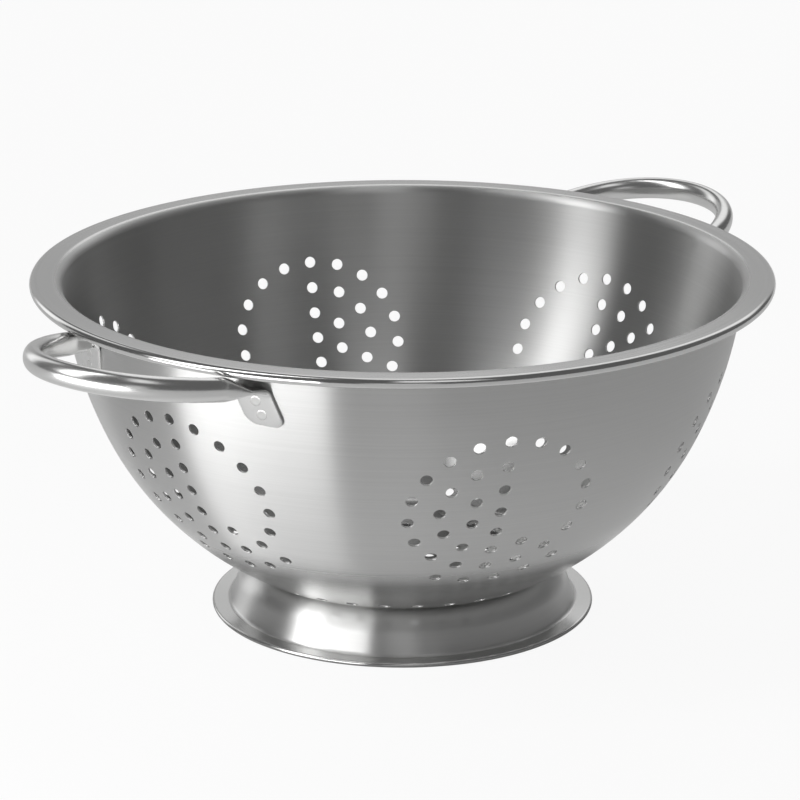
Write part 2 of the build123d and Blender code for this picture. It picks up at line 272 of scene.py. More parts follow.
def buildBowlShell():
    s, arcs = bowlSizes, bowlArcs()
    foldStart = 180 - s["wallLean"]
    outside = wallProfile(arcs, 0, 1) + arcPoints(arcs["fold"], s["foldRadius"], foldStart, 90, 10, -1)
    inside = wallProfile(arcs, s["sheet"], -1)
    inside += arcPoints(arcs["fold"], s["foldRadius"] + s["sheet"], foldStart, 90, 9, 1)
    rollHollow = arcPoints(arcs["roll"], s["rollRadius"] - s["sheet"], 90, 90 - s["rollTurn"], 22, -1)
    rollSkin = arcPoints(arcs["roll"], s["rollRadius"], 90 - s["rollTurn"], 90, 13, 1)
    return lathe("bowl_steel_shell", outside + rollHollow + rollSkin + inside[::-1], s["steps"])


# Drain holes

holeSizes = {
    "diameter": 4.5 * mm,
    "edge": 0.13 * mm,                       # rounding of the punched edge
    "sag": 0.023 * mm,                       # how far the curved wall falls away at a hole's edge
    "sides": 20,
    "groups": 6,
    "turn": 0.8,
    "sphereRadius": 126.6 * mm,
    "sphereHeight": 129.5 * mm,
    "depthAngle": 26.5,
    "pitchAcross": 11.2 * mm,
    "pitchUp": 10.4 * mm,
    "rings": [(0, 0.0, 0.0, 1), (1, 0.0, 60.0, 4), (2, 0.0, 30.0, 8), (3, 0.0, 20.0, 18), (4, 157.5, 15.0, 5)],
    "floorPitch": 10.4 * mm,
    "floorRings": 4,
    "dripRadius": 65.4 * mm,
    "dripCount": 34,
    "dripTurn": 5.2,
}


def buildPunch():
    # One punch: a hole's width in the sheet, flared at both faces so that it leaves rounded edges
    s = holeSizes
    radius, edge, sag = s["diameter"] / 2, s["edge"], s["sag"]
    flare = [polar(edge, angle) for angle in (0, 25, 50)]
    upper = [(radius + edge - aim.x, aim.y - edge - sag) for aim in flare]
    lower = [(x, -bowlSizes["sheet"] - 2 * sag - y) for x, y in reversed(upper)]
    wide = upper[-1][0] + edge
    outline = [(0, lower[0][1] - 3 * edge), (wide, lower[0][1] - 3 * edge), (wide, lower[0][1] - edge)]
    outline += lower + upper
    outline += [(wide, upper[-1][1] + edge), (wide, upper[-1][1] + 3 * edge), (0, upper[-1][1] + 3 * edge)]
    punch = lathe("punch", [(x, y, 0, 0) for x, y in outline], s["sides"])
    punch.data.attributes.remove(punch.data.attributes["finishNormal"])
    return punch


def ringOfPoints(bench, count, first, step, acrossStep, upStep):
    # Points on an ellipse, the first at the top, in the flat plane of their group
    index = bench.make("GeometryNodeInputIndex")["Index"]
    angle = index * math.radians(step) + math.radians(first)
    across = bench.maths("SINE", angle) * acrossStep
    up = bench.maths("COSINE", angle) * upStep
    place = bench.vector(across, up, 0.0)
    return bench.make("GeometryNodePoints", {}, {"Count": count, "Position": place})["Points"]


def onWall(bench, points, shell, aim):
    # Points sent along an aim until they meet the shell, where each keeps the normal that it met
    hit = bench.make("GeometryNodeRaycast", {"data_type": "FLOAT"}, {
        "Target Geometry": shell, "Ray Direction": aim, "Ray Length": 1.0,
    })
    kept = bench.make("GeometryNodeStoreNamedAttribute", {"data_type": "FLOAT_VECTOR", "domain": "POINT"}, {
        "Geometry": points, "Name": "aim", "Value": hit["Hit Normal"],
    })["Geometry"]
    again = bench.make("GeometryNodeRaycast", {"data_type": "FLOAT"}, {
        "Target Geometry": shell, "Ray Direction": aim, "Ray Length": 1.0,
    })
    return bench.make("GeometryNodeSetPosition", {}, {"Geometry": kept, "Position": again["Hit Position"]})["Geometry"]


def groupsOnWall(bench, given, shell):
    # Every hole of the groups, laid out on a sphere near the wall and then sent in to the wall
    rings = []
    for ring, first, step, count in holeSizes["rings"]:
        rings.append(ringOfPoints(bench, count, first, step, given["Pitch Across"] * ring, given["Pitch Up"] * ring))
    group = bench.make("GeometryNodeJoinGeometry", {}, {"Geometry": rings})["Geometry"]
    copies = bench.make("GeometryNodeDuplicateElements", {"domain": "POINT"}, {
        "Geometry": group, "Amount": given["Groups"],
    })
    across, up, _ = bench.parts(bench.make("GeometryNodeInputPosition")["Position"])
    across, up = across / given["Sphere Radius"], up / given["Sphere Radius"]
    reach = bench.maths("SQRT", across * across + up * up)
    bearing = bench.maths("ARCTAN2", across, up)
    sinDepth, cosDepth = bench.maths("SINE", given["Depth"]), bench.maths("COSINE", given["Depth"])
    aside = bench.maths("SINE", reach) * cosDepth
    sine = aside * bench.maths("COSINE", bearing) - bench.maths("COSINE", reach) * sinDepth
    turn = bench.maths(
        "ARCTAN2", aside * bench.maths("SINE", bearing), bench.maths("COSINE", reach) + sinDepth * sine
    )
    azimuth = copies["Duplicate Index"] * 2 * math.pi / given["Groups"] + given["Turn"] - turn
    height = sine * given["Sphere Radius"] + given["Sphere Height"]
    outside = given["Sphere Radius"] * 1.5
    east, north = bench.maths("COSINE", azimuth), bench.maths("SINE", azimuth)
    start = bench.vector(east * outside, north * outside, height)
    apart = bench.make("GeometryNodeSetPosition", {}, {"Geometry": copies["Geometry"], "Position": start})["Geometry"]
    x, y, _ = bench.parts(bench.make("GeometryNodeInputPosition")["Position"])
    return onWall(bench, apart, shell, bench.vector(x * -1, y * -1, 0.0))


def ringsInFloor(bench, given, shell):
    # Holes in the floor and the single ring outside the foot, met from below
    rings = [ringOfPoints(bench, 1, 0.0, 0.0, 0.0, 0.0)]
    for ring in range(1, holeSizes["floorRings"] + 1):
        pitch = given["Floor Pitch"] * ring
        rings.append(ringOfPoints(bench, 6 * ring, 90 - holeSizes["turn"], -60 / ring, pitch, pitch))
    drip = given["Drip Radius"]
    step = -360 / holeSizes["dripCount"]
    rings.append(ringOfPoints(bench, holeSizes["dripCount"], 90 - holeSizes["dripTurn"], step, drip, drip))
    joined = bench.make("GeometryNodeJoinGeometry", {}, {"Geometry": rings})["Geometry"]
    return onWall(bench, joined, shell, bench.vector(0.0, 0.0, 1.0))


def newTree(name, inputs):
    tree = bpy.data.node_groups.new(name, "GeometryNodeTree")
    for label, kind in inputs:
        tree.interface.new_socket(label, in_out="INPUT", socket_type=kind)
    tree.interface.new_socket("Geometry", in_out="OUTPUT", socket_type="NodeSocketGeometry")
    return tree, Bench(tree)


def perforationTree():
    numbers = ["Turn", "Depth", "Sphere Radius", "Sphere Height"]
    numbers += ["Pitch Across", "Pitch Up", "Floor Pitch", "Drip Radius"]
    inputs = [("Shell", "NodeSocketGeometry"), ("Punch", "NodeSocketObject"), ("Groups", "NodeSocketInt")]
    inputs += [(label, "NodeSocketFloat") for label in numbers] + [("Material", "NodeSocketMaterial")]
    tree, bench = newTree("perforations", inputs)
    given = bench.make("NodeGroupInput")
    shell = given["Shell"]
    places = bench.make("GeometryNodeJoinGeometry", {}, {
        "Geometry": [groupsOnWall(bench, given, shell), ringsInFloor(bench, given, shell)],
    })["Geometry"]
    aim = bench.make("GeometryNodeInputNamedAttribute", {"data_type": "FLOAT_VECTOR"}, {"Name": "aim"})["Attribute"]
    turned = bench.make("FunctionNodeAlignRotationToVector", {"axis": "Z"}, {"Vector": aim})["Rotation"]
    punch = bench.make("GeometryNodeObjectInfo", {"transform_space": "ORIGINAL"}, {"Object": given["Punch"]})["Geometry"]
    punches = bench.make("GeometryNodeInstanceOnPoints", {}, {"Points": places, "Instance": punch, "Rotation": turned})
    punches = bench.make("GeometryNodeRealizeInstances", {}, {"Geometry": punches["Instances"]})["Geometry"]
    cut = bench.make("GeometryNodeMeshBoolean", {"operation": "DIFFERENCE", "solver": "MANIFOLD"}, {
        "Mesh 1": shell, "Mesh 2": punches,
    })["Mesh"]
    kept = bench.make("GeometryNodeInputNamedAttribute", {"data_type": "FLOAT_VECTOR"}, {"Name": "finishNormal"})
    sheetNormal = bench.make("GeometryNodeSampleNearestSurface", {"data_type": "FLOAT_VECTOR"}, {
        "Mesh": shell, "Value": kept["Attribute"],
    })["Value"]
    punchNormal = bench.make("GeometryNodeSampleNearestSurface", {"data_type": "FLOAT_VECTOR"}, {
        "Mesh": punches, "Value": bench.make("GeometryNodeInputNormal")["Normal"],
    })["Value"]
    wallNormal = bench.make("ShaderNodeVectorMath", {"operation": "SCALE"}, {"Vector": punchNormal, "Scale": -1.0})
    depth = bench.make("GeometryNodeProximity", {"target_element": "FACES"}, {"Geometry": shell})["Distance"]
    inHole = bench.make("FunctionNodeCompare", {"data_type": "FLOAT", "operation": "GREATER_THAN"}, {
        0: depth, 1: 0.002 * mm,
    })["Result"]
    normal = bench.make("GeometryNodeSwitch", {"input_type": "VECTOR"}, {
        "Switch": inHole, "False": sheetNormal, "True": wallNormal["Vector"],
    })["Output"]
    stored = bench.make("GeometryNodeStoreNamedAttribute", {"data_type": "FLOAT_VECTOR", "domain": "POINT"}, {
        "Geometry": cut, "Name": "finishNormal", "Value": normal,
    })["Geometry"]
    real = bench.make("GeometryNodeRealizeInstances", {}, {"Geometry": stored})["Geometry"]
    dressed = bench.make("GeometryNodeSetMaterial", {}, {"Geometry": real, "Material": given["Material"]})["Geometry"]
    bench.make("NodeGroupOutput", {}, {"Geometry": dressed})
    return tree


def buildBowl(material):
    s = holeSizes
    bowl = buildBowlShell()
    punch = buildPunch()
    addTree(bowl, perforationTree(), {
        "Punch": punch, "Groups": s["groups"], "Turn": math.radians(s["turn"]), "Depth": math.radians(s["depthAngle"]),
        "Sphere Radius": s["sphereRadius"], "Sphere Height": s["sphereHeight"], "Pitch Across": s["pitchAcross"],
        "Pitch Up": s["pitchUp"], "Floor Pitch": s["floorPitch"], "Drip Radius": s["dripRadius"], "Material": material,
    })
    asPlainMesh(bowl)
    useFinishNormals(bowl)
    bpy.data.objects.remove(punch)
    print("bowl", len(bowl.data.polygons), "faces", sum(len(p.vertices) - 2 for p in bowl.data.polygons), "triangles")
    return bowl


# Foot ring

footSizes = {
    "inset": 4.7 * mm,
    "lipWidth": 6.6 * mm,
    "shoulderRadius": 12.6 * mm,
    "flareLean": 20.0,
    "bendRadius": 1.6 * mm,
    "flangeWidth": 4.9 * mm,
    "hemGap": 0.2 * mm,                      # inside the flange's folded edge
    "hemWidth": 3.4 * mm,
    "steps": 288,
}


def buildFoot(material):
    s, sheet = footSizes, bowlSizes["sheet"]
    top = bowlSizes["floorHeight"]
    neck = bowlSizes["floorRadius"] - s["inset"]
    lip = neck - s["lipWidth"]
    lean = math.radians(s["flareLean"])
    out = (math.cos(lean), math.sin(lean))
    shoulder = Vector((neck, top - s["shoulderRadius"]))
    shoulderEnd = shoulder + Vector(out) * s["shoulderRadius"]
    hemRadius = sheet + s["hemGap"] / 2
    bendHeight = 2 * hemRadius + s["bendRadius"]
    tangentHeight = bendHeight - s["bendRadius"] * math.sin(lean)
    tangentRadius = shoulderEnd.x + (shoulderEnd.y - tangentHeight) * math.tan(lean)
    bend = Vector((tangentRadius + s["bendRadius"] * math.cos(lean), bendHeight))
    hem = Vector((bend.x + s["flangeWidth"], hemRadius))
    hemEnd = hem.x - s["hemWidth"]
    outer = [(lip, top, 0, 1)]
    outer += arcPoints(shoulder, s["shoulderRadius"], 90, s["flareLean"], 5, 1)
    bendOuter = arcPoints(bend, s["bendRadius"], 180 + s["flareLean"], 270, 9, -1)
    outer += linePoints(outer[-1][:2], bendOuter[0][:2], out, 3) + bendOuter
    hemSkin = arcPoints(hem, hemRadius, 90, -90, 12, 1) + [(hemEnd, 0, 0, -1), (hemEnd, sheet, 0, 1)]
    hemHollow = arcPoints(hem, s["hemGap"] / 2, -90, 90, 30, -1)
    under = arcPoints(bend, s["bendRadius"] + sheet, 270, 180 + s["flareLean"], 8, 1)
    back = arcPoints(shoulder, s["shoulderRadius"] - sheet, s["flareLean"], 90, 5, -1)
    under += linePoints(under[-1][:2], back[0][:2], (-out[0], -out[1]), 3) + back
    under.append((lip, top - sheet, 0, -1))
    profile = outer + hemSkin + hemHollow + under
    foot = lathe("foot_steel_ring", profile[::-1], s["steps"])
    useFinishNormals(foot)
    foot.data.materials.append(material)
    return foot


# Handles

handleSizes = {
    "tubeWidth": 7.1 * mm,
    "tubeHeight": 8.8 * mm,
    "tubeWall": 0.8 * mm,
    "tilt": 9.3,
    "height": 121.8 * mm,
    "bowRadius": 38.4 * mm,
    "bowTurn": 58.8,
    "sideRadius": 54.5 * mm,
    "sideTurn": 22.3,
    "armRadius": 95.0 * mm,
    "armTurn": 6.2,
    "armStraight": 3.0 * mm,
    "flatWidth": 13.6 * mm,
    "tabLength": 14.5 * mm,
    "foldRadius": 3.0 * mm,
    "cornerRadius": 4.0 * mm,
    "pressed": 0.35 * mm,                    # how deep the tab's back lies in the line of the wall
    "seatDepth": 0.4 * mm,                   # the most that any of it may lie there
    "sides": 40,
}


def handleFrame():
    # Places and aims of the handle at +X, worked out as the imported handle's are
    s, arcs, b = handleSizes, bowlArcs(), bowlSizes
    sideStop = s["bowTurn"] + s["sideTurn"]
    armStop = sideStop + s["armTurn"]
    sideCentre = polar(s["bowRadius"] - s["sideRadius"], s["bowTurn"])
    armCentre = sideCentre + polar(s["sideRadius"] - s["armRadius"], sideStop)
    armEnd = armCentre + polar(s["armRadius"], armStop)
    foldCorner = armEnd + polar(s["armStraight"], armStop + 90)
    middle = s["height"] - s["tabLength"] / 2
    slope = math.asin((arcs["upper"].y - middle) / b["upperRadius"])
    back = arcs["upper"].x + b["upperRadius"] * math.cos(slope)
    lift = s["tubeWall"] - s["pressed"]
    rise = s["height"] - middle + lift * math.sin(slope)
    cornerRadius = back + lift * math.cos(slope) + rise * math.tan(slope)
    turn = math.asin(foldCorner.y / cornerRadius)
    outward = Vector((math.cos(turn), math.sin(turn), 0))
    wallNormal = outward * math.cos(slope) - Vector((0, 0, 1)) * math.sin(slope)
    corner = outward * cornerRadius + Vector((0, 0, s["height"]))
    tilt = math.radians(s["tilt"])
    outAxis = Vector((math.cos(tilt), 0, math.sin(tilt)))
    upAxis = outAxis.cross(Vector((0, 1, 0)))
    origin = corner - outAxis * foldCorner.x - Vector((0, foldCorner.y, 0))
    line = upAxis.cross(wallNormal).normalized()
    armOut = line.cross(upAxis)
    tabDown = line.cross(wallNormal)
    foldTurn = math.pi - armOut.angle(tabDown)
    flatAim = polar(1, armStop + 90)
    armAim = outAxis * flatAim.x + Vector((0, 1, 0)) * flatAim.y
    slant = math.asin(armAim.dot(line))
    return {
        "origin": origin, "outAxis": outAxis, "upAxis": upAxis, "sideStop": sideStop, "armStop": armStop,
        "sideCentre": sideCentre, "armCentre": armCentre, "line": line, "armOut": armOut, "tabDown": tabDown,
        "foldTurn": foldTurn, "armAim": armAim, "slant": slant, "wallNormal": wallNormal, "corner": corner,
        "tabAim": line * math.sin(slant) + tabDown * math.cos(slant),
        "setback": s["foldRadius"] * math.tan(foldTurn / 2),
    }


def tubeStations():
    # From the middle of the bow to the end of one tab: centre, across, thickness aim, half sizes, squareness
    s, f = handleSizes, handleFrame()
    width, height, wall = s["tubeWidth"] / 2, s["tubeHeight"] / 2, s["tubeWall"]
    stations = []

    def onPlane(spot, aim):
        place = f["origin"] + f["outAxis"] * spot.x + Vector((0, spot.y, 0))
        return place, (f["outAxis"] * aim.x + Vector((0, aim.y, 0))).cross(f["upAxis"])

    def alongArc(centre, radius, first, last, count):
        for index in range(count):
            angle = first + (last - first) * index / count
            place, across = onPlane(centre + polar(radius, angle), polar(1, angle + 90))
            stations.append((place, across, f["upAxis"], width, height, 2.0))

    alongArc(Vector((0, 0)), s["bowRadius"], 0, s["bowTurn"], 26)
    alongArc(f["sideCentre"], s["sideRadius"], s["bowTurn"], f["sideStop"], 12)
    bendLength = s["armRadius"] * math.radians(s["armTurn"])
    foldStart = f["corner"] - f["armAim"] * (f["setback"] / math.cos(f["slant"]))
    straight = s["armStraight"] - f["setback"] / math.cos(f["slant"])
    count = 22
    for index in range(count + 1):
        share = index / count
        eased = share * share * (3 - 2 * share)
        distance = (bendLength + straight) * share
        angle = f["sideStop"] + s["armTurn"] * min(distance / bendLength, 1)
        spot = f["armCentre"] + polar(s["armRadius"], angle) + polar(max(distance - bendLength, 0), angle + 90)
        place, square = onPlane(spot, polar(1, angle + 90))
        skew = f["slant"] * share
        aim = f["upAxis"].cross(square)
        across = square * math.cos(skew) - aim * math.sin(skew)
        half = (width + (s["flatWidth"] / 2 - width) * eased) / math.cos(skew)
        stations.append((place, across, f["upAxis"], half, height + (wall - height) * eased, 2.0 + 4.0 * eased))
    half = s["flatWidth"] / 2 / math.cos(f["slant"])
    axisSpot = foldStart - f["upAxis"] * s["foldRadius"]
    count = 12
    for index in range(1, count + 1):
        turned = f["foldTurn"] * index / count
        back = f["upAxis"] * math.cos(turned) - f["armOut"] * math.sin(turned)
        drift = s["foldRadius"] * turned * math.tan(f["slant"])
        place = axisSpot + back * s["foldRadius"] + f["line"] * drift
        stations.append((place, f["line"], back, half, wall, 6.0))
    start, back = stations[-1][0], stations[-1][2]
    drop = s["tabLength"] - f["setback"]
    corner = s["cornerRadius"]
    for share in (0.2, 0.4, 0.6, 0.8):
        stations.append((start + f["tabAim"] * (drop - corner) * share, f["line"], back, half, wall, 6.0))
    for angle in range(0, 91, 10):
        into = polar(corner, angle)
        place = start + f["tabAim"] * (drop - corner + into.y)
        thin = wall * (1.0 if angle < 80 else 0.92 if angle < 90 else 0.62)
        stations.append((place, f["line"], back, half - corner + into.x, thin, 6.0))
    return stations


def ringPoints(station, sides):
    place, across, thick, halfWidth, halfHeight, squareness = station
    points = []
    for index in range(sides):
        aim = polar(1, 360 * index / sides)
        x = math.copysign(abs(aim.x) ** (2 / squareness), aim.x) * halfWidth
        y = math.copysign(abs(aim.y) ** (2 / squareness), aim.y) * halfHeight
        points.append(place + across * x + thick * y)
    return points


def seated(point, arcs):                     # a point that would lie deep in the wall is moved out towards its face
    rise = arcs["upper"].y - point.z
    wall = arcs["upper"].x + math.sqrt(bowlSizes["upperRadius"] ** 2 - rise ** 2)
    if point.z > bowlSizes["wallFootHeight"]:
        wall = arcs["wallFoot"].x + (point.z - arcs["wallFoot"].y) * math.tan(math.radians(bowlSizes["wallLean"]))
    least = wall - handleSizes["seatDepth"]
    around = point.xy.length
    return point if around > least else Vector((point.x * least / around, point.y * least / around, point.z))


def buildHandle(name, turned, material):
    # One half is built from the middle of the bow and mirrored, then the whole is turned to its side
    sides = handleSizes["sides"]
    half = [ringPoints(station, sides) for station in tubeStations()]
    mirrored = [[Vector((p.x, -p.y, p.z)) for p in ring] for ring in half[:0:-1]]
    rings = mirrored + half
    # A mirrored ring runs the same way round as its twin because both start on the outer side
    arcs = bowlArcs()
    points = [seated(point, arcs) for ring in rings for point in ring]
    faces = []
    for row in range(len(rings) - 1):
        for index in range(sides):
            after = (index + 1) % sides
            faces.append((row * sides + index, row * sides + after, (row + 1) * sides + after, (row + 1) * sides + index))
    last = (len(rings) - 1) * sides
    for index in range(sides // 2 - 1):      # each end closes with a strip across its thickness
        faces.append((index, index + 1, sides - index - 2, sides - index - 1))
        faces.append((last + sides - index - 1, last + sides - index - 2, last + index + 1, last + index))
    handle = meshPiece(name, points, faces)
    handle.data.transform(Matrix.Rotation(math.radians(turned), 4, "Z"))
    handle.data.materials.append(material)
    return handle


# Spot welds

weldSizes = {
    "radius": 2.0 * mm,
    "crest": 0.024 * mm,                     # pressed edge round a weld's shallow hollow
    "hollow": 0.018 * mm,
    "sink": 0.04 * mm,
    "first": 4.6 * mm,
    "step": 5.6 * mm,
    "footCount": 8,
    "footTurn": 22.5,
}


def weldTree():
    # The same nugget at every place, turned to the sheet's normal there
    inputs = [("Places", "NodeSocketGeometry"), ("Nugget", "NodeSocketObject"), ("Material", "NodeSocketMaterial")]
    tree, bench = newTree("welds", inputs)
    given = bench.make("NodeGroupInput")
    aim = bench.make("GeometryNodeInputNamedAttribute", {"data_type": "FLOAT_VECTOR"}, {"Name": "aim"})["Attribute"]
    turned = bench.make("FunctionNodeAlignRotationToVector", {"axis": "Z"}, {"Vector": aim})["Rotation"]
    nugget = bench.make("GeometryNodeObjectInfo", {"transform_space": "ORIGINAL"}, {"Object": given["Nugget"]})
    points = bench.make("GeometryNodeMeshToPoints", {}, {"Mesh": given["Places"]})["Points"]
    nuggets = bench.make("GeometryNodeInstanceOnPoints", {}, {
        "Points": points, "Instance": nugget["Geometry"], "Rotation": turned,
    })["Instances"]
    real = bench.make("GeometryNodeRealizeInstances", {}, {"Geometry": nuggets})["Geometry"]
    smooth = bench.make("GeometryNodeSetShadeSmooth", {}, {"Geometry": real})["Geometry"]
    dressed = bench.make("GeometryNodeSetMaterial", {}, {"Geometry": smooth, "Material": given["Material"]})["Geometry"]
    bench.make("NodeGroupOutput", {}, {"Geometry": dressed})
    return tree


def buildNugget():
    s = weldSizes
    hollow, crest, sink = s["hollow"], s["crest"], -s["sink"]
    profile = [(0, hollow), (0.6, hollow), (0.72, crest), (0.94, crest), (1, sink), (0, sink)]
    nugget = lathe("nugget", [(share * s["radius"], height, 0, 0) for share, height in profile], 24)
    nugget.data.attributes.remove(nugget.data.attributes["finishNormal"])
    return nugget


def tabWeldPlaces(turned):
    # Outer face of the tab at both tabs of one handle: inside the bowl the marks are too faint to show
    f, s = handleFrame(), weldSizes
    places = []
    turn = Matrix.Rotation(math.radians(turned), 3, "Z")
    for index in range(2):
        spot = f["corner"] + f["tabAim"] * (s["first"] + s["step"] * index) + f["wallNormal"] * handleSizes["tubeWall"]
        for side in (1, -1):
            flip = Vector((1, side, 1))
            places.append((turn @ (spot * flip), turn @ (f["wallNormal"] * flip)))
    return places


def footWeldPlaces():
    s = weldSizes
    radius = bowlSizes["floorRadius"] - footSizes["inset"] - footSizes["lipWidth"] / 2
    top = bowlSizes["floorHeight"] + bowlSizes["sheet"]
    bottom = bowlSizes["floorHeight"] - bowlSizes["sheet"]
    places = []
    for index in range(s["footCount"]):
        spot = polar(radius, s["footTurn"] + 360 / s["footCount"] * index)
        places.append((Vector((spot.x, spot.y, top)), Vector((0, 0, 1))))
        places.append((Vector((spot.x, spot.y, bottom)), Vector((0, 0, -1))))
    return places


def buildWelds(name, places, nugget, tree, material):
    welds = meshPiece(name, [place for place, aim in places], [])
    attribute = welds.data.attributes.new("aim", "FLOAT_VECTOR", "POINT")
    attribute.data.foreach_set("vector", np.array([tuple(aim) for place, aim in places], np.float32).ravel())
    addTree(welds, tree, {"Nugget": nugget, "Material": material})
    asPlainMesh(welds)
    return welds


# Steel

def newMaterial(name):
    material = bpy.data.materials.new(name)
    material.use_nodes = True
    material.node_tree.nodes.clear()
    return material, Bench(material.node_tree)


def turnedSteel(name, s):
    # Brushed round the axis: the grain's lines run round it and the highlights stretch across them.
    # Flange and rolled edge are smoother from one radius on, and the bowl's underside below another
    material, bench = newMaterial(name)
    x, y, z = bench.parts(bench.make("ShaderNodeTexCoord")["Object"])
    radius = bench.maths("SQRT", x * x + y * y)
    angle = bench.maths("ARCTAN2", y, x)
    around = bench.vector(bench.maths("COSINE", angle), bench.maths("SINE", angle), (radius + z * 1.3) * s["lineScale"])
    fine = bench.make("ShaderNodeTexNoise", {}, {
        "Vector": around, "Scale": 1.0, "Detail": 3.0, "Roughness": 0.7,
    })["Fac"]
    slow = bench.vector(x * 9, y * 9, z * 9)
    cloud = bench.make("ShaderNodeTexNoise", {}, {"Vector": slow, "Scale": 1.0, "Detail": 2.0})["Fac"]
    level = (fine - 0.5) * s["lineDepth"] + (cloud - 0.5) * s["cloudDepth"] + 1
    red, green, blue = s["colour"]
    colour = bench.make("ShaderNodeCombineColor", {}, {"Red": level * red, "Green": level * green, "Blue": level * blue})
    edge = smoothStep(bench, radius, *s["edge"]) * s["edgeSmoother"]
    edge = edge + (1 - smoothStep(bench, radius, *s["low"])) * s["lowSmoother"]
    roughness = (fine - 0.5) * s["roughnessSpread"] + s["roughness"] - edge
    shader = bench.make("ShaderNodeBsdfPrincipled", {}, {
        "Base Color": colour["Color"], "Metallic": 1.0, "Roughness": roughness,
        "Anisotropic": s["stretch"], "Anisotropic Rotation": 0.25,
    })
    bench.make("ShaderNodeOutputMaterial", {}, {"Surface": shader["BSDF"]})
    return material


def polishedSteel(name, s):
    material, bench = newMaterial(name)
    place = bench.make("ShaderNodeTexCoord")["Object"]
    cloud = bench.make("ShaderNodeTexNoise", {}, {"Vector": place, "Scale": 60.0, "Detail": 3.0})["Fac"]
    shader = bench.make("ShaderNodeBsdfPrincipled", {}, {
        "Base Color": (*s["colour"], 1), "Metallic": 1.0, "Roughness": (cloud - 0.5) * s["roughnessSpread"] + s["roughness"],
    })
    bench.make("ShaderNodeOutputMaterial", {}, {"Surface": shader["BSDF"]})
    return material


bowlSteel = turnedSteel("bowlSteel", {
    "colour": (0.62, 0.62, 0.615), "roughness": 0.38, "roughnessSpread": 0.08, "stretch": 1.0,
    "lineScale": 900.0, "lineDepth": 0.16, "cloudDepth": 0.06,
    "edge": (129.5 * mm, 131.5 * mm), "edgeSmoother": 0.26, "low": (84 * mm, 102 * mm), "lowSmoother": 0.2,
})
footSteel = turnedSteel("footSteel", {
    "colour": (0.6, 0.6, 0.595), "roughness": 0.34, "roughnessSpread": 0.06, "stretch": 0.95,
    "lineScale": 900.0, "lineDepth": 0.1, "cloudDepth": 0.04,
    "edge": (66.5 * mm, 68.0 * mm), "edgeSmoother": 0.12, "low": (84 * mm, 102 * mm), "lowSmoother": 0.0,
})
handleSteel = polishedSteel("handleSteel", {
    "colour": (0.68, 0.68, 0.675), "roughness": 0.24, "roughnessSpread": 0.04,
})
weldSteel = polishedSteel("weldSteel", {"colour": (0.63, 0.63, 0.62), "roughness": 0.3, "roughnessSpread": 0.06})


def addPiece(piece, node):
    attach(piece, "root")
    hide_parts(node)


addPiece(buildBowl(bowlSteel), "bowl")
addPiece(buildFoot(footSteel), "foot_ring")
weldNugget, weldPlacing = buildNugget(), weldTree()
for side, turned in (("right", 0), ("left", 180)):
    addPiece(buildHandle("handle_tube_" + side, turned, handleSteel), "handle_" + side)
    welds = buildWelds("tab_welds_" + side, tabWeldPlaces(turned), weldNugget, weldPlacing, weldSteel)
    addPiece(welds, "handle_" + side + "_welds")
footWelds = buildWelds("lip_welds", footWeldPlaces(), weldNugget, weldPlacing, weldSteel)
addPiece(footWelds, "foot_welds")
bpy.data.objects.remove(weldNugget)
print("pieces built")


# Stage, light and camera

cameraSizes = {
    "azimuth": 222.9,                        # of the camera, seen from the bowl's axis
    "pitch": 17.63,
    "distance": 1360.7 * mm,
    "aimHeight": 80.38 * mm,
    "aside": -0.92 * mm,
    "lens": 160.7,
}
studioSizes = {
    "base": 0.14,
    "softboxes": [                           # azimuth, half width, lowest and highest edge, strength
        (150, 9, 16, 76, 4.3),               # key light at the left of the camera
        (28, 26, 22, 74, 0.98),              # behind the bowl
        (88, 10, -2, 46, 0.9),
        (238, 17, 45, 76, 1.0),              # above the camera
        (222, 9, -2, 18, 0.6),
        (55, 40, -2, 24, 0.34),
    ],
    "edge": 5,                               # how soft the edges are, in degrees
    "floorNear": 0.1,                        # painted shade: strength of the floor's glow as the steel sees it, at the foot, in place of the bowl's shadow there
    "floorRound": 0.8,                       # painted light: how much brighter that glow is round the foot
    "floorRoundAt": (74 * mm, 102 * mm),
    "floorFar": 0.25,                        # how much of that painted light it loses farther out
    "floorFarAt": (150 * mm, 220 * mm),
    "floorEven": 0.6,                        # share of this painted glow, and the rest is the lit floor with its shadow
    "floorShadow": 0.08,                     # how much of the floor's own light and shadow the camera sees
}
lowLight = {"azimuth": 178, "distance": 420 * mm, "height": 8 * mm, "width": 380 * mm, "depth": 120 * mm, "radiance": 5.5}


def addCamera():
    s = cameraSizes
    azimuth, pitch = math.radians(s["azimuth"]), math.radians(s["pitch"])
    back = Vector((math.cos(azimuth) * math.cos(pitch), math.sin(azimuth) * math.cos(pitch), math.sin(pitch)))
    camera = bpy.data.objects.new("camera", bpy.data.cameras.new("camera"))
    camera.data.lens = s["lens"]
    camera.data.sensor_width = 36
    camera.data.clip_end = 50
    bpy.context.scene.collection.objects.link(camera)
    right = Vector((-math.sin(azimuth), math.cos(azimuth), 0))
    camera.location = Vector((0, 0, s["aimHeight"])) + back * s["distance"] + right * s["aside"]
    camera.rotation_mode = "QUATERNION"
    camera.rotation_quaternion = (-back).to_track_quat("-Z", "Y")
    bpy.context.scene.camera = camera


